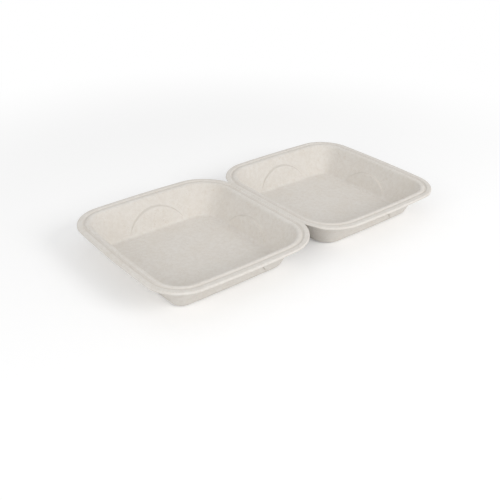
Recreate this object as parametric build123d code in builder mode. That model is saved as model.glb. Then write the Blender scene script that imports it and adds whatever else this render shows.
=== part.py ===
"""Moulded bagasse clamshell container, opened flat, in millimetres.

The container is one pressed pulp shell: two equal trays that share a fold.
The fold lies along the Y axis, with the base tray on the -X side and the lid on the +X side.
Both trays stand on their floors at Z = 0, with their rims level.
"""
import os
from math import cos, hypot, radians, sin, tan

from build123d import *

os.makedirs("parts", exist_ok=True)

# Overall sizes of one tray
tray_reach = 226.0  # fold to the middle of the front edge
tray_length = 236.0  # along the fold, between the middles of the two ends
tray_depth = 40.5  # table to the top of the rim
sheet_thickness = 0.9  # pressed pulp

# Plan outline of the rim
end_bow = 4.0  # how far the middle of an end stands out past its corners
front_bow = 4.0  # the same for the front edge
front_corner_radius = 46.0
hinge_corner_radius = 56.0
fold_overlap = 1.8  # the outline runs this far past the fold, which cuts it off
fold_gap = 0.3  # clearance between the two halves at the fold

# Section of the rim, from its outer edge inwards
lip_drop = 3.0  # turned-down lip, measured from the top of the rim
lip_bevel = 0.8  # outer corner where the flange turns down into the lip
flange_width = 6.0  # flat flange up to the channel
channel_width = 4.4  # across its top
channel_depth = 1.2
channel_run = 1.3  # how far each side of the channel slopes in
shoulder_width = 4.6  # from the channel to the top of the wall
shoulder_bevel = 2.2  # where the shoulder turns down into the wall, inside

# Score line at the fold, pressed into the inside of the sheet
score_width = 1.1  # on each side of the fold
score_depth = 0.4

# Walls and floor
wall_draft = 25.0  # degrees from the vertical
floor_bevel = 2.8  # where the wall turns into the floor, inside

# Arched panel in the middle of every wall
end_arch_width = 88.0
end_arch_height = 27.5  # above the inside of the floor
side_arch_width = 80.0  # on the fold side and the front
side_arch_height = 23.5
arch_draft = 17.0  # steeper than the wall, so that the crest stands proud of it

overrun = 5.0  # how far cutting solids run past what they cut

# Worked out from the sizes above
channel_inset = flange_width + channel_width
rim_width = channel_inset + shoulder_width
wall_height = tray_depth - sheet_thickness
wall_slope = tan(radians(wall_draft))
arch_slope = tan(radians(arch_draft))
wall_skin = sheet_thickness / cos(radians(wall_draft))  # the sheet, measured level through the wall
arch_skin = sheet_thickness / cos(radians(arch_draft))
half_turn = radians(90 + wall_draft) / 2  # half the angle between wall and floor
bevel_step = sheet_thickness * (1 / sin(half_turn) - 1) / cos(half_turn)  # keeps the sheet even at bevels
arch_inset = rim_width + wall_height * (wall_slope - arch_slope)  # panel slope, carried up to the rim
channel_skin = sheet_thickness * hypot(channel_run, channel_depth) / channel_depth
rib_depth = channel_depth + sheet_thickness
rib_run = channel_run * rib_depth / channel_depth
fold_edge = -fold_gap / 2
tray_middle = (fold_overlap + front_bow - tray_reach) / 2  # halfway between the corners of the plan

# Outer edge of the rim: three bowed sides, four round corners and a straight side past the fold
with BuildSketch() as rim_outline:
    corner_x = front_bow - tray_reach
    corner_y = tray_length / 2 - end_bow
    end_middle = (tray_middle, tray_length / 2)
    with BuildLine():
        far_end = ThreePointArc((fold_overlap, corner_y), end_middle, (corner_x, corner_y))
        ThreePointArc((corner_x, corner_y), (-tray_reach, 0), (corner_x, -corner_y))
        mirror(far_end, about=Plane.XZ)
        Line((fold_overlap, -corner_y), (fold_overlap, corner_y))
    make_face()
    fillet(rim_outline.vertices().group_by(Axis.X)[0], front_corner_radius)
    fillet(rim_outline.vertices().group_by(Axis.X)[-1], hinge_corner_radius)


def plan(inset):
    """The rim's outline moved inwards. One half is offset and mirrored, so that both ends stay true arcs."""
    with BuildSketch() as outline:
        add(rim_outline.sketch)
        offset(amount=-inset, mode=Mode.REPLACE)
        split(bisect_by=Plane.XZ, keep=Keep.BOTTOM)
        mirror(about=Plane.XZ)
    return outline.sketch


def rim_band(near, far):
    """A band that runs round the rim between two outlines."""
    with BuildSketch(Plane.XY.offset(tray_depth)) as band:
        add(near)
        add(far, mode=Mode.SUBTRACT)
    return band.sketch


def sloped(top_inset, floor_inset, floor_level):
    """Solid between the outline at rim level and a smaller outline below it."""
    mouth = plan(top_inset)
    floor = plan(floor_inset)
    with BuildPart() as solid:
        with BuildSketch(Plane.XY.offset(tray_depth)):
            add(mouth)
        with BuildSketch(Plane.XY.offset(floor_level)):
            add(floor)
        loft(ruled=True)
    return solid.part


def bowl(inset, slope, floor_level, edge_size):
    """Sloping bowl hung from an inset of the outline at rim level, with its floor edge bevelled."""
    walls = sloped(inset, inset + (tray_depth - floor_level) * slope, floor_level)
    with BuildPart() as solid:
        add(walls)
        chamfer(solid.faces().sort_by(Axis.Z)[0].edges(), edge_size)
    return solid.part


def trough(near, far, depth, run):
    """Ring with sloping sides that hangs from rim level between two insets."""
    level = tray_depth - depth
    outer = sloped(near, near + run, level)
    core = sloped(far, far - run, level)
    with BuildPart() as ring:
        add(outer)
        add(core, mode=Mode.SUBTRACT)
    return ring.part


def arch_tunnels(shrink):
    """Two crossing tunnels of arched section, which mark the panels on the four walls."""
    with BuildPart() as tunnels:
        for plane, reach, width, height in (
            (Plane.XZ.shift_origin((tray_middle, 0, 0)), tray_length, end_arch_width, end_arch_height),
            (Plane.YZ.offset(tray_middle), tray_reach, side_arch_width, side_arch_height),
        ):
            half_width = width / 2
            crest = sheet_thickness + height
            with BuildSketch(plane):
                with BuildLine():
                    feet = Line((half_width, sheet_thickness), (half_width, -overrun))
                    under = Line(feet @ 1, (-half_width, -overrun))
                    rise = Line(under @ 1, (-half_width, sheet_thickness))
                    ThreePointArc(rise @ 1, (0, crest), feet @ 0)
                make_face()
                if shrink:
                    offset(amount=-shrink, mode=Mode.REPLACE)
            extrude(amount=reach / 2, both=True)
    return tunnels.part


def moulded_form(skin, wall_inset, panel_inset, floor_level, edge_size):
    """A bowl whose walls step in to steeper panels inside the arches."""
    walls = bowl(wall_inset, wall_slope, floor_level, edge_size)
    panels = bowl(panel_inset, arch_slope, floor_level, edge_size)
    tunnels = arch_tunnels(skin)
    with BuildPart() as reliefs:
        add(tunnels)
        add(panels, mode=Mode.SUBTRACT)
    with BuildPart() as form:
        add(walls)
        add(reliefs.part, mode=Mode.SUBTRACT)
    return form.part


inside = moulded_form(0, rim_width, arch_inset, sheet_thickness, floor_bevel)
outside = moulded_form(
    sheet_thickness, rim_width - wall_skin, arch_inset - arch_skin, 0, floor_bevel + bevel_step
)
lip_band = rim_band(rim_outline.sketch, plan(sheet_thickness))
channel = trough(flange_width, channel_inset, channel_depth, channel_run)
rib = trough(flange_width - channel_skin, channel_inset + channel_skin, rib_depth, rib_run)

with BuildPart() as base_tray:
    # Flange and bowl, bevelled into each other on both sides of the sheet
    with BuildSketch(Plane.XY.offset(tray_depth)):
        add(rim_outline.sketch)
    extrude(amount=-sheet_thickness)
    add(outside)
    underside = base_tray.faces().filter_by(Plane.XY).sort_by(Axis.Z)[-2]
    chamfer(underside.inner_wires()[0].edges(), shoulder_bevel - bevel_step)
    add(inside, mode=Mode.SUBTRACT)
    chamfer(base_tray.faces().sort_by(Axis.Z)[-1].inner_wires()[0].edges(), shoulder_bevel)

    # Turned-down lip round the outer edge
    add(lip_band)
    extrude(amount=-lip_drop)
    chamfer(base_tray.faces().sort_by(Axis.Z)[-1].outer_wire().edges(), lip_bevel)

    # Channel pressed into the flange, which shows as a rib underneath
    add(rib)
    add(channel, mode=Mode.SUBTRACT)

    # Cut off at the fold, with the bevel of the score line along the cut
    split(bisect_by=Plane.YZ.offset(fold_edge), keep=Keep.BOTTOM)
    with BuildSketch(Plane.XZ):
        with BuildLine():
            Polyline(
                (fold_edge - score_width, tray_depth),
                (fold_edge, tray_depth - score_depth),
                (fold_edge, tray_depth),
                close=True,
            )
        make_face()
    extrude(amount=tray_length / 2, both=True, mode=Mode.SUBTRACT)

base_tray.part.label = "base_tray"
export_step(base_tray.part, "parts/base_tray.step")

# The lid is the mirror image of the base tray, across the fold
with BuildPart() as lid:
    mirror(base_tray.part, about=Plane.YZ)

lid.part.label = "lid"
export_step(lid.part, "parts/lid.step")
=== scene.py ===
"""Looks of the moulded bagasse clamshell container, opened flat, in metres.

Both halves are swept from one rim-to-floor section round the plan outline, and meet at the fold.
"""

from math import atan2, cos, hypot, pi, radians, sin, sqrt, tan

import bmesh
import bpy
import numpy as np
from mathutils import Matrix, Vector


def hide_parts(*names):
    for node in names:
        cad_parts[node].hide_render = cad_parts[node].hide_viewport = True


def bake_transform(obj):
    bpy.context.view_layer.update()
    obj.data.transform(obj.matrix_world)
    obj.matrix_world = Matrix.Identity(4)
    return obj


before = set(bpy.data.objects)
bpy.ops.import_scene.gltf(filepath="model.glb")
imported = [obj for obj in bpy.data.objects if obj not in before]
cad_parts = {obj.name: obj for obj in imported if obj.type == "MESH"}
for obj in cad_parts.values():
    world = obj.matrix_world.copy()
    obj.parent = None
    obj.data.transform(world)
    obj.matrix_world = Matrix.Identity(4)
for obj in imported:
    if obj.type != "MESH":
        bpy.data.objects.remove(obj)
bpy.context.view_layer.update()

MM = 0.001

# Plan of the rim, as in the part
TRAY_REACH = 226.0 * MM
TRAY_LENGTH = 236.0 * MM
RIM_LEVEL = 40.5 * MM
SHEET = 0.9 * MM
END_BOW = 4.0 * MM
FRONT_BOW = 4.0 * MM
FRONT_CORNER = 46.0 * MM
HINGE_CORNER = 56.0 * MM
FOLD_OVERLAP = 1.8 * MM

# Section, from the outer edge of the rim inwards
LIP_DROP = 3.0 * MM
LIP_ROUND = 1.6 * MM
CHANNEL_START = 5.6 * MM
CHANNEL_END = 10.8 * MM
CHANNEL_SIDE = 2.0 * MM
CHANNEL_DEPTH = 1.2 * MM
RIB_SPREAD_SHARE = 1 / 3  # of the sheet: how much wider the rib under the channel is, on each side
WALL_INSET = 15.0 * MM
SHOULDER_ROUND = 4.0 * MM
FLOOR_ROUND = 5.0 * MM
WALL_SLOPE = radians(25.0)
PANEL_SLOPE = radians(17.0)
FLOOR_LEVEL = SHEET

# Arched panel in the middle of every wall
END_ARCH_WIDTH = 88.0 * MM
END_ARCH_HEIGHT = 27.5 * MM
SIDE_ARCH_WIDTH = 80.0 * MM
SIDE_ARCH_HEIGHT = 23.5 * MM
ARCH_FADE = 5.0 * MM  # a panel comes out of the wall over this width at each foot of its arch
# Rows over the ledge on top of an arch: height off its crest, and share of the way out to the panel
LEDGE = [
    (1.3 * MM, 0.0), (0.6 * MM, 0.05), (0.25 * MM, 0.21), (0.0, 0.5),
    (-0.25 * MM, 0.79), (-0.6 * MM, 0.95), (-1.3 * MM, 1.0),
]
LEDGE_LOWEST = 2.0 * MM  # least height of a ledge above the foot of its wall

# Score line at the fold, and how much of the sheet bends there
SCORE_HALF = 0.6 * MM
SCORE_DEPTH = 0.4 * MM
SCORE_REACH = 1.0 * MM  # only what lies this near the level of the rim is scored
FOLD_BEND = 2.4 * MM
LIP_FADE = 13.0 * MM  # the lip grows to its full drop this far from the fold

# Slow dips along the rim: the greatest depth, the mean share of it, and waves as share, turns and start
RIM_DIP = 0.25 * MM
DIP_MEAN_SHARE = 0.5
DIP_WAVES = [(0.2, 3.0, 0.6), (0.2, 7.0, 2.0), (0.1, 13.0, 0.0)]

# Rows and columns of the mesh
COLUMN_STEP = 1.5 * MM
LIP_ROWS = [LIP_DROP, 2.5 * MM, 2.0 * MM]  # below the rim
LIP_ROUND_STEPS = 6
FLANGE_ROWS = [inset * MM for inset in (1.8, 2.0, 2.2, 2.4, 2.8, 3.2, 3.6, 4.0, 4.5, 5.1)]
CHANNEL_STEPS = 13
SHOULDER_STEPS = 7
WALL_STEPS = 11
PANEL_STEPS = 10
FLOOR_ROUND_STEPS = 8
FLOOR_RING_SHARES = [0.97, 0.92, 0.84, 0.72, 0.58, 0.43, 0.28, 0.15, 0.06]
WELD = 0.002 * MM  # points of the sheet closer than this become one
CUT_TOLERANCE = 0.0001 * MM

# Material slots of the two sides, and painted shade along lines: in the rim channel and on the ledges over
# the arches
PRESSED, SCREENED = 0, 1
CHANNEL_SHADE_SHARE = 0.6
LEDGE_SHADE_DEPTH = 2.0 * MM  # a ledge this deep gets the full painted shade


def smooth(low, high, value):
    """Smooth step from 0 at low to 1 at high."""
    t = np.clip((value - low) / (high - low), 0.0, 1.0)
    return t * t * (3.0 - 2.0 * t)


def arc(centre, radius, start, stop):
    """Points of an arc and the outward directions there, without its last point."""
    steps = max(2, round(abs(stop - start) * radius / COLUMN_STEP))
    turns = np.linspace(start, stop, steps, endpoint=False)
    outward = np.column_stack([np.cos(turns), np.sin(turns)])
    return np.array(centre) + radius * outward, outward


def bow_circle(half_chord, bow):
    """Radius of the circle that rises by bow over a chord."""
    return (half_chord ** 2 + bow ** 2) / (2.0 * bow)


def rim_outline():
    """Outer edge of the rim round the base half: places, outward directions, and its middle along X."""
    corner_x = FRONT_BOW - TRAY_REACH
    corner_y = TRAY_LENGTH / 2 - END_BOW
    middle = (FOLD_OVERLAP + corner_x) / 2
    end_radius = bow_circle((FOLD_OVERLAP - corner_x) / 2, END_BOW)
    end_centre = (middle, TRAY_LENGTH / 2 - end_radius)
    front_radius = bow_circle(corner_y, FRONT_BOW)
    front_centre = (front_radius - TRAY_REACH, 0.0)

    # Each corner's circle touches the two sides that it joins
    hinge_x = FOLD_OVERLAP - HINGE_CORNER
    hinge_reach = end_radius - HINGE_CORNER
    hinge_centre = (hinge_x, end_centre[1] + sqrt(hinge_reach ** 2 - (hinge_x - middle) ** 2))

    reach_a, reach_b = end_radius - FRONT_CORNER, front_radius - FRONT_CORNER
    apart_x, apart_y = front_centre[0] - end_centre[0], front_centre[1] - end_centre[1]
    apart = hypot(apart_x, apart_y)
    along = (reach_a ** 2 - reach_b ** 2 + apart ** 2) / (2.0 * apart)
    across = sqrt(reach_a ** 2 - along ** 2)
    front_corner = (
        end_centre[0] + (along * apart_x - across * apart_y) / apart,
        end_centre[1] + (along * apart_y + across * apart_x) / apart,
    )

    turn_hinge = atan2(hinge_centre[1] - end_centre[1], hinge_centre[0] - end_centre[0])
    turn_end = atan2(front_corner[1] - end_centre[1], front_corner[0] - end_centre[0])
    turn_front = atan2(front_corner[1] - front_centre[1], front_corner[0] - front_centre[0])

    steps = round(hinge_centre[1] / COLUMN_STEP)
    hinge_side = np.column_stack([
        np.full(steps, FOLD_OVERLAP), np.linspace(0.0, hinge_centre[1], steps, endpoint=False)])
    runs = [
        (hinge_side, np.tile([1.0, 0.0], (steps, 1))),
        arc(hinge_centre, HINGE_CORNER, 0.0, turn_hinge),
        arc(end_centre, end_radius, turn_hinge, turn_end),
        arc(front_corner, FRONT_CORNER, turn_end, turn_front),
        arc(front_centre, front_radius, turn_front, pi),
    ]
    places = np.vstack([run[0] for run in runs])
    outward = np.vstack([run[1] for run in runs])
    flip = np.array([1.0, -1.0])
    front_middle = np.array([[-TRAY_REACH, 0.0]])
    places = np.vstack([places, front_middle, places[:0:-1] * flip])
    outward = np.vstack([outward, [[-1.0, 0.0]], outward[:0:-1] * flip])
    return places, outward, middle


def rim_rows(skin):
    """Inset and height from the lip to the end of the channel, a skin below the pressed side."""
    rows = [(skin, RIM_LEVEL - drop) for drop in LIP_ROWS]
    radius = LIP_ROUND - skin
    for turn in np.linspace(0.0, pi / 2, LIP_ROUND_STEPS):
        rows.append((LIP_ROUND - radius * cos(turn), RIM_LEVEL - LIP_ROUND + radius * sin(turn)))
    rows += [(inset, RIM_LEVEL - skin) for inset in FLANGE_ROWS]
    spread = skin * RIB_SPREAD_SHARE
    start, end = CHANNEL_START - spread, CHANNEL_END + spread
    for inset in np.linspace(start, end, CHANNEL_STEPS):
        side = min(inset - start, end - inset)
        rows.append((inset, RIM_LEVEL - skin - CHANNEL_DEPTH * smooth(0.0, CHANNEL_SIDE, side)))
    return rows


def shoulder_rows(slope, inset, skin):
    """Round from the shoulder into a wall that hangs from an inset at rim level."""
    touch = SHOULDER_ROUND * (1.0 - sin(slope))
    centre = inset + touch * tan(slope) - SHOULDER_ROUND * cos(slope)
    radius = SHOULDER_ROUND - skin
    return [(centre + radius * sin(turn), RIM_LEVEL - SHOULDER_ROUND + radius * cos(turn))
            for turn in np.linspace(0.0, pi / 2 - slope, SHOULDER_STEPS)]


def floor_rows(slope, inset, skin):
    """Round from such a wall into the floor."""
    depth = RIM_LEVEL - FLOOR_LEVEL - FLOOR_ROUND * (1.0 - sin(slope))
    centre = inset + depth * tan(slope) + FLOOR_ROUND * cos(slope)
    radius = FLOOR_ROUND + skin
    return [(centre - radius * cos(turn), FLOOR_LEVEL + FLOOR_ROUND - radius * sin(turn))
            for turn in np.linspace(slope, pi / 2, FLOOR_ROUND_STEPS)]


def sheet_side(skin):
    """One side of the base half: rows from the lip to the floor, the middle of the floor, and lines of
    painted shade.
    """
    places, outward, middle = rim_outline()
    panel_inset = WALL_INSET + (RIM_LEVEL - FLOOR_LEVEL) * (tan(WALL_SLOPE) - tan(PANEL_SLOPE))
    shoulder = shoulder_rows(WALL_SLOPE, WALL_INSET, skin)
    wall_floor = floor_rows(WALL_SLOPE, WALL_INSET, skin)
    panel_floor = floor_rows(PANEL_SLOPE, panel_inset, skin)

    facing_x = np.abs(outward[:, 0]) > np.abs(outward[:, 1])
    along = np.abs(np.where(facing_x, places[:, 1], places[:, 0] - middle))
    half_width = np.where(facing_x, SIDE_ARCH_WIDTH, END_ARCH_WIDTH) / 2
    height = np.where(facing_x, SIDE_ARCH_HEIGHT, END_ARCH_HEIGHT)
    radius = bow_circle(half_width, height)
    centre = FLOOR_LEVEL + height - radius
    arch = centre + np.sqrt(np.maximum((radius - skin) ** 2 - along ** 2, 0.0))
    within = smooth(0.0, ARCH_FADE, half_width - along)
    wall_top = shoulder[-1][1]
    wall_foot = wall_floor[0][1] + (panel_floor[0][1] - wall_floor[0][1]) * within
    crest = np.maximum(arch, wall_foot + LEDGE_LOWEST)

    ledge_top, ledge_foot = crest + LEDGE[0][0], crest + LEDGE[-1][0]
    wall_shares = np.linspace(0.0, 1.0, WALL_STEPS)[1:-1]
    panel_shares = np.linspace(0.0, 1.0, PANEL_STEPS)[1:-1]
    levels = [(wall_top + (ledge_top - wall_top) * share, 0.0) for share in wall_shares]
    levels += [(crest + rise, share) for rise, share in LEDGE]
    levels += [(ledge_foot + (wall_foot - ledge_foot) * share, 1.0) for share in panel_shares]

    wall_top_inset = WALL_INSET - skin / cos(WALL_SLOPE)
    panel_top_inset = panel_inset - skin / cos(PANEL_SLOPE)
    even = np.ones(len(places))
    least_lip = (SHEET - skin) / (LIP_DROP - skin)
    lip_share = least_lip + (1.0 - least_lip) * smooth(FOLD_BEND, LIP_FADE, -places[:, 0])
    flange_level = RIM_LEVEL - skin
    rings, lines = [], []
    for inset, level in rim_rows(skin) + shoulder:
        drop = (flange_level - level) * (lip_share if inset < LIP_ROUND else even)
        in_channel = CHANNEL_START < inset < CHANNEL_END
        rings.append((inset * even, flange_level - drop))
        # painted shade in the hollow of the rim channel
        lines.append(CHANNEL_SHADE_SHARE * smooth(0.0, CHANNEL_DEPTH, drop) * in_channel)
    for level, share in levels:
        on_wall = wall_top_inset + (RIM_LEVEL - level) * tan(WALL_SLOPE)
        on_panel = panel_top_inset + (RIM_LEVEL - level) * tan(PANEL_SLOPE)
        rings.append((on_wall + (on_panel - on_wall) * share * within, level))
        # painted shade along the ledge over each arch, strongest midway down it
        ledge_line = 2.0 * sqrt(share * (1.0 - share))
        lines.append(ledge_line * smooth(0.0, LEDGE_SHADE_DEPTH, on_panel - on_wall) * within)
    for (on_wall, wall_level), (on_panel, panel_level) in zip(wall_floor, panel_floor):
        inset = on_wall + (on_panel - on_wall) * within
        rings.append((inset, wall_level + (panel_level - wall_level) * within))
        lines.append(0.0 * even)
    grid = [np.column_stack([places - inset[:, None] * outward, level]) for inset, level in rings]
    heart = np.array([middle, 0.0, FLOOR_LEVEL - skin])
    for share in FLOOR_RING_SHARES:
        grid.append(heart + (grid[len(rings) - 1] - heart) * share)
        lines.append(0.0 * even)
    grid = np.array(grid)

    sway = np.arctan2(outward[:, 1], outward[:, 0])
    dip = DIP_MEAN_SHARE + sum(share * np.sin(turns * sway + start) for share, turns, start in DIP_WAVES)
    grid[:, :, 2] -= RIM_DIP * dip * smooth(0.0, 1.0, grid[:, :, 2] / RIM_LEVEL)
    return grid, heart, np.array(lines)


def half_shell(name, mirrored):
    """One half of the container as a closed sheet that ends at the fold."""
    grid, heart, lines = sheet_side(0.0)
    under, under_heart, under_lines = sheet_side(SHEET)
    near_fold = np.abs(grid[:, :, 0])
    on_rim = grid[:, :, 2] > RIM_LEVEL - SCORE_REACH
    full_sheet = np.clip((grid[:, :, 2] - under[:, :, 2]) / SHEET, 0.0, 1.0)
    score = np.clip(1.0 - near_fold / SCORE_HALF, 0.0, 1.0)
    grid[:, :, 2] -= SCORE_DEPTH * score * full_sheet * on_rim

    rows, columns = grid.shape[:2]
    bm = bmesh.new()
    # painted shade along the rim channel and the arch ledges, kept per point
    painted_shade_line = bm.verts.layers.float.new("painted_shade_line")
    top = [bm.verts.new(place) for place in grid.reshape(-1, 3)]
    low = [bm.verts.new(place) for place in under.reshape(-1, 3)]
    top_heart, low_heart = bm.verts.new(heart), bm.verts.new(under_heart)
    for vert, line in zip(top + low, np.concatenate([lines.ravel(), under_lines.ravel()])):
        vert[painted_shade_line] = line
    last = (rows - 1) * columns
    for column in range(columns):
        after = (column + 1) % columns
        for row in range(rows - 1):
            near, far = row * columns, (row + 1) * columns
            corners = (near + column, near + after, far + after, far + column)
            bm.faces.new([top[corner] for corner in corners]).material_index = PRESSED
            bm.faces.new([low[corner] for corner in corners[::-1]]).material_index = SCREENED
        bm.faces.new((top[last + column], top[last + after], top_heart)).material_index = PRESSED
        bm.faces.new((low[last + after], low[last + column], low_heart)).material_index = SCREENED
        bm.faces.new((low[column], low[after], top[after], top[column])).material_index = SCREENED

    bmesh.ops.remove_doubles(bm, verts=bm.verts[:], dist=WELD)
    bmesh.ops.bisect_plane(
        bm, geom=bm.verts[:] + bm.edges[:] + bm.faces[:], dist=CUT_TOLERANCE,
        plane_co=(0.0, 0.0, 0.0), plane_no=(1.0, 0.0, 0.0), clear_outer=True)
    cut = [edge for edge in bm.edges if edge.is_boundary]
    bmesh.ops.holes_fill(bm, edges=cut, sides=0)
    if mirrored:
        bmesh.ops.transform(bm, matrix=Matrix.Diagonal((-1.0, 1.0, 1.0, 1.0)), verts=bm.verts[:])
        bmesh.ops.reverse_faces(bm, faces=bm.faces[:])
    for face in bm.faces:
        face.smooth = True

    mesh = bpy.data.meshes.new(name)
    bm.to_mesh(mesh)
    bm.free()
    places = np.empty(len(mesh.vertices) * 3)
    mesh.vertices.foreach_get("co", places)
    mesh.attributes.new("sheet_place", "FLOAT_VECTOR", "POINT").data.foreach_set("vector", places)
    piece = bpy.data.objects.new(name, mesh)
    bpy.context.scene.collection.objects.link(piece)
    return piece


class Wire:
    """An output of a shader tree. Arithmetic on it adds Math nodes."""

    def __init__(self, tree, socket=None):
        self.tree, self.socket = tree, socket

    def node(self, kind, settings=None, sockets=None, output=0):
        """Add a node: its settings first, then values or wires for its sockets. Gives one output."""
        made = self.tree.nodes.new(kind)
        for key, value in (settings or {}).items():
            setattr(made, key, value)
        for key, value in (sockets or {}).items():
            if isinstance(value, Wire):
                self.tree.links.new(value.socket, made.inputs[key])
            else:
                made.inputs[key].default_value = value
        return Wire(self.tree, made.outputs[output] if made.outputs else None)

    def maths(self, operation, *values):
        return self.node("ShaderNodeMath", {"operation": operation}, dict(enumerate(values)))

    def __add__(self, other):
        return self.maths("ADD", self, other)

    def __radd__(self, other):
        return self.maths("ADD", other, self)

    def __sub__(self, other):
        return self.maths("SUBTRACT", self, other)

    def __rsub__(self, other):
        return self.maths("SUBTRACT", other, self)

    def __mul__(self, other):
        return self.maths("MULTIPLY", self, other)

    def __abs__(self):
        return self.maths("ABSOLUTE", self)

    def step(self, low, high):
        """Smooth step of this value between two limits."""
        return self.node(
            "ShaderNodeMapRange", {"interpolation_type": "SMOOTHSTEP"}, {0: self, 1: low, 2: high})

    def scaled(self, factor):
        return self.node("ShaderNodeVectorMath", {"operation": "MULTIPLY"}, {0: self, 1: (factor,) * 3})

    def part(self, axis):
        return self.node("ShaderNodeSeparateXYZ", None, {0: self}, output=axis)

    def noise(self, scale, detail=2.0, rough=0.5, distort=0.0):
        return self.node(
            "ShaderNodeTexNoise", None,
            {"Vector": self, "Scale": scale, "Detail": detail, "Roughness": rough, "Distortion": distort})

    def scattered(self, scale, rarity, core, rim):
        """Spots in some of the cells of a scatter: 1 within the core, 0 past the rim."""
        cells = {"Vector": self, "Scale": scale}
        spot = 1 - self.node("ShaderNodeTexVoronoi", None, cells).step(core, rim)
        pick = self.node("ShaderNodeTexVoronoi", None, cells, output="Color")
        return spot * self.node("ShaderNodeSeparateColor", None, {0: pick}).step(rarity, rarity + PICK_EDGE)

    def tinted(self, colour, share):
        """This colour, moved towards another by a share."""
        return self.node("ShaderNodeMix", {"data_type": "RGBA"}, {0: share, 6: self, 7: colour}, output=2)


def srgb(red, green, blue):
    """Linear colour from 0-255 display values."""
    def linear(level):
        level /= 255.0
        return level / 12.92 if level <= 0.04045 else ((level + 0.055) / 1.055) ** 2.4
    return (linear(red), linear(green), linear(blue), 1.0)


# Colours of the pulp
PULP = srgb(224, 219, 212)
PULP_PALE = srgb(229, 225, 219)
PULP_WARM = srgb(218, 209, 197)
# colour of the painted shade along the rim channel and the ledges over the arches
PAINTED_SHADE_TONE = srgb(203, 195, 184)
FIBRE = srgb(200, 186, 166)
SPECK = srgb(158, 134, 106)
# Noises: scale per metre, detail, roughness and distortion
CLOUDS = (190.0, 3.0, 0.6)
STAINS = (24.0, 3.0, 0.6)
FINE_GRAIN = (900.0, 3.0, 0.65)
STRANDS = (210.0, 2.0, 0.5, 1.2)
HAIRS = (420.0, 1.0, 0.5, 0.8)
HAIR_SHRINK = 1.3
STRAND_PATCH_SCALE = 120.0
HAIR_PATCH_SCALE = 300.0
# Noise levels between which a layer comes in, and the half width of a strand or hair
CLOUD_LEVELS = (0.32, 0.68)
STAIN_LEVELS = (0.4, 0.8)
STRAND_PATCH_LEVELS = (0.48, 0.62)
HAIR_PATCH_LEVELS = (0.5, 0.6)
NOISE_MIDDLE = 0.5
STRAND_HALF = 0.026
HAIR_HALF = 0.04
# Spots: cells per unit, share of the cells left empty, core and rim of a spot
SPECKS = (150.0, 0.91, 0.03, 0.09)
FLECKS = (1.0, 0.84, 0.04, 0.11)
PICK_EDGE = 0.03  # how softly the filled cells are picked
# Loose fibres: directions they lie in, and size of the cell that holds one
FLECK_TURNS = [(0.2, 0.3, 0.5), (0.4, 0.1, 1.7), (0.1, 0.5, 2.7)]
FLECK_CELL = (16.0 * MM, 2.2 * MM, 2.2 * MM)
# Shares of each tint
STAIN_SHARE = 0.3
STRAND_SHARE = 0.34
HAIR_SHARE = 0.26
SPECK_SHARE = 0.6
FLECK_SHARE = 0.6
# share of the painted shade along the channel and the ledges
SHADE_LINE_SHARE = 0.2
SHADE_LINE_CLOUD_SHARE = 0.4  # more where the pulp is cloudy
# Relief: shares of clouds, fine grain, strands, hairs and flecks
RELIEF_SHARES = (0.5, 0.3, 0.35, 0.25, 0.25)
BUMP_STRENGTH = 0.6
SPECULAR = 0.32
# Roughness, its spread with the fine grain, and depth of the relief, on the two sides
PRESSED_ROUGHNESS, PRESSED_SPREAD, PRESSED_RELIEF = 0.7, 0.16, 0.12 * MM
SCREEN_ROUGHNESS, SCREEN_SPREAD, SCREEN_RELIEF = 0.8, 0.14, 0.16 * MM
# Marks of the forming screen
SCREEN_PITCH = 1.2 * MM
SCREEN_PULP_SHARE = 0.7
SCREEN_MARK_SHARE = 0.22


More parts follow.
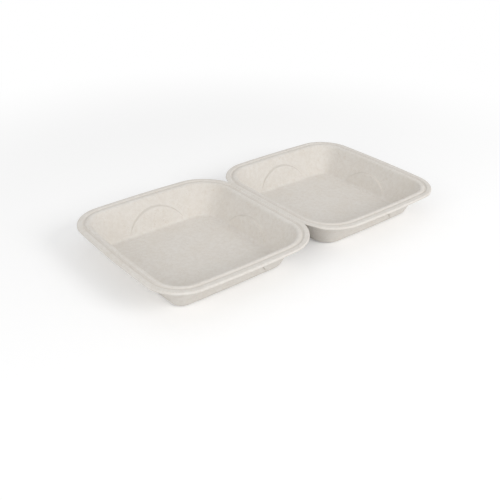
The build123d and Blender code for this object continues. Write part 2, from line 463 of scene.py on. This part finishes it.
def pulp_finish(name, screen_marks):
    """Pressed cane fibre: cloudy off-white, fine fibres and specks, and painted shade along the rim channel
    and the arch ledges. The outside keeps screen marks.
    """
    material = bpy.data.materials.new(name)
    material.use_nodes = True
    tree = material.node_tree
    tree.nodes.clear()
    start = Wire(tree)
    place = start.node("ShaderNodeAttribute", {"attribute_name": "sheet_place"}, output=1)

    clouds = place.noise(*CLOUDS)
    fine = place.noise(*FINE_GRAIN)
    tone = place.node("ShaderNodeMix", {"data_type": "RGBA"},
                      {0: clouds.step(*CLOUD_LEVELS), 6: PULP, 7: PULP_PALE}, output=2)
    tone = tone.tinted(PULP_WARM, place.noise(*STAINS).step(*STAIN_LEVELS) * STAIN_SHARE)

    strands = 1 - abs(place.noise(*STRANDS) - NOISE_MIDDLE).step(0.0, STRAND_HALF)
    strands = strands * place.noise(STRAND_PATCH_SCALE).step(*STRAND_PATCH_LEVELS)
    hairs = 1 - abs(place.scaled(HAIR_SHRINK).noise(*HAIRS) - NOISE_MIDDLE).step(0.0, HAIR_HALF)
    hairs = hairs * place.noise(HAIR_PATCH_SCALE).step(*HAIR_PATCH_LEVELS)
    tone = tone.tinted(FIBRE, strands * STRAND_SHARE + hairs * HAIR_SHARE)

    flecks = 0.0
    for turn in FLECK_TURNS:
        laid = place.node("ShaderNodeMapping", {"vector_type": "TEXTURE"},
                          {"Vector": place, "Rotation": turn, "Scale": FLECK_CELL})
        flecks = laid.scattered(*FLECKS) + flecks
    tone = tone.tinted(SPECK, place.scattered(*SPECKS) * SPECK_SHARE)
    tone = tone.tinted(FIBRE, flecks.maths("MINIMUM", flecks, 1.0) * FLECK_SHARE)

    # painted shade along the rim channel and the arch ledges, stronger where the clouds are
    painted_shade_mask = start.node("ShaderNodeAttribute", {"attribute_name": "painted_shade_line"}, output="Fac")
    tone = tone.tinted(PAINTED_SHADE_TONE, painted_shade_mask * (clouds * SHADE_LINE_CLOUD_SHARE + SHADE_LINE_SHARE))

    layers = zip((clouds, fine, strands, hairs, flecks), RELIEF_SHARES)
    relief = sum(layer * share for layer, share in layers)
    if screen_marks:
        x, y, z = (place.part(axis) * (2.0 * pi / SCREEN_PITCH) for axis in "XYZ")
        marks = x.maths("SINE", x) + y.maths("SINE", y) + z.maths("SINE", z)
        relief = relief * SCREEN_PULP_SHARE + marks * SCREEN_MARK_SHARE
        roughness = SCREEN_ROUGHNESS + fine * SCREEN_SPREAD
        depth = SCREEN_RELIEF
    else:
        roughness = PRESSED_ROUGHNESS + fine * PRESSED_SPREAD
        depth = PRESSED_RELIEF
    bump = place.node(
        "ShaderNodeBump", None, {"Strength": BUMP_STRENGTH, "Distance": depth, "Height": relief})
    shader = place.node(
        "ShaderNodeBsdfPrincipled", None,
        {"Base Color": tone, "Roughness": roughness, "Specular IOR Level": SPECULAR, "Normal": bump})
    place.node("ShaderNodeOutputMaterial", None, {"Surface": shader})
    return material


pressed_finish = pulp_finish("pulp_pressed_side", False)
screen_finish = pulp_finish("pulp_screen_side", True)

for node, name, mirrored in (("base_tray", "base_tray_shell", False), ("lid", "lid_shell", True)):
    shell = half_shell(name, mirrored)
    shell.data.materials.append(pressed_finish)
    shell.data.materials.append(screen_finish)
    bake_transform(shell)
    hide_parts(node)


def looked_at(start):
    """1 on rays from the camera, straight or by a shiny or clear surface, and 0 on light that spreads."""
    kinds = ("Is Camera Ray", "Is Glossy Ray", "Is Transmission Ray")
    rays = sum(start.node("ShaderNodeLightPath", output=kind) for kind in kinds)
    return rays.maths("MINIMUM", rays, 1.0)


# Table that reads white to the camera and keeps the shadow
TABLE_SIZE = 6.0
TABLE_CUTS = 8
TABLE_LEVEL = -0.4 * MM
TABLE_TONE = (0.9, 0.9, 0.9, 1.0)
TABLE_GLOW = 0.2
TABLE_FADE = (0.35, 0.8)  # distances from the middle between which it turns plain white
bpy.ops.mesh.primitive_grid_add(
    x_subdivisions=TABLE_CUTS, y_subdivisions=TABLE_CUTS, size=TABLE_SIZE, location=(0.0, 0.0, TABLE_LEVEL))
table = bpy.context.object
table.name = "pale_table"
table_finish = bpy.data.materials.new("pale_table_top")
table_finish.use_nodes = True
table_finish.node_tree.nodes.clear()
start = Wire(table_finish.node_tree)
spot = start.node("ShaderNodeNewGeometry")
reach = start.node("ShaderNodeVectorMath", {"operation": "LENGTH"}, {0: spot}, output="Value")
matt = start.node("ShaderNodeBsdfDiffuse", None, {"Color": TABLE_TONE})
glow = start.node("ShaderNodeEmission", None, {"Strength": TABLE_GLOW})
white = start.node("ShaderNodeEmission", None, {"Strength": 1.0})
lit = start.node("ShaderNodeAddShader", None, {0: matt, 1: glow})
far = start.node("ShaderNodeMixShader", None, {0: reach.step(*TABLE_FADE), 1: lit, 2: white})
seen = start.node("ShaderNodeMixShader", None, {0: looked_at(start), 1: matt, 2: far})
start.node("ShaderNodeOutputMaterial", None, {"Surface": seen})
table.data.materials.append(table_finish)

# Studio light
SKY_LEVEL = 0.64
SKY_TONE = (1.0, 1.0, 1.0, 1.0)
world = bpy.data.worlds.new("studio")
bpy.context.scene.world = world
world.use_nodes = True
world.node_tree.nodes.clear()
sky = Wire(world.node_tree)
plain = sky.node("ShaderNodeBackground", None, {"Color": SKY_TONE, "Strength": SKY_LEVEL})
white = sky.node("ShaderNodeBackground", None, {"Color": SKY_TONE, "Strength": 1.0})
mixed = sky.node("ShaderNodeMixShader", None, {0: looked_at(sky), 1: plain, 2: white})
sky.node("ShaderNodeOutputWorld", None, {"Surface": mixed})


LAMP_AIM = Vector((0.0, 0.0, 0.03))


def softbox(name, place, size, power):
    """Square area lamp turned towards the trays."""
    lamp = bpy.data.lights.new(name, "AREA")
    lamp.size, lamp.energy = size, power
    holder = bpy.data.objects.new(name, lamp)
    holder.location = place
    holder.rotation_euler = (LAMP_AIM - Vector(place)).to_track_quat("-Z", "Y").to_euler()
    bpy.context.scene.collection.objects.link(holder)


softbox("key_softbox", place=(0.45, -1.6, 1.0), size=0.8, power=12.5)
softbox("fill_softbox", place=(-1.6, -0.5, 0.75), size=1.0, power=5.5)

# Camera
CAMERA_TURN = radians(-39.707)
CAMERA_RISE = radians(30.499)
CAMERA_ROLL = radians(1.061)
CAMERA_AWAY = 0.7788
CAMERA_AIM = Vector((-0.09286, -0.08443, RIM_LEVEL))
CAMERA_LENS = 49.3
level_back = Vector((sin(CAMERA_TURN), -cos(CAMERA_TURN), 0.0))
back = level_back * cos(CAMERA_RISE) + Vector((0.0, 0.0, sin(CAMERA_RISE)))
camera_data = bpy.data.cameras.new("camera")
camera_data.lens = CAMERA_LENS
camera = bpy.data.objects.new("camera", camera_data)
camera.location = CAMERA_AIM + CAMERA_AWAY * back
upright = (-back).to_track_quat("-Z", "Y").to_matrix()
camera.rotation_euler = (upright @ Matrix.Rotation(CAMERA_ROLL, 3, "Z")).to_euler()
bpy.context.scene.collection.objects.link(camera)
bpy.context.scene.camera = camera
bpy.context.scene.view_settings.view_transform = "Standard"
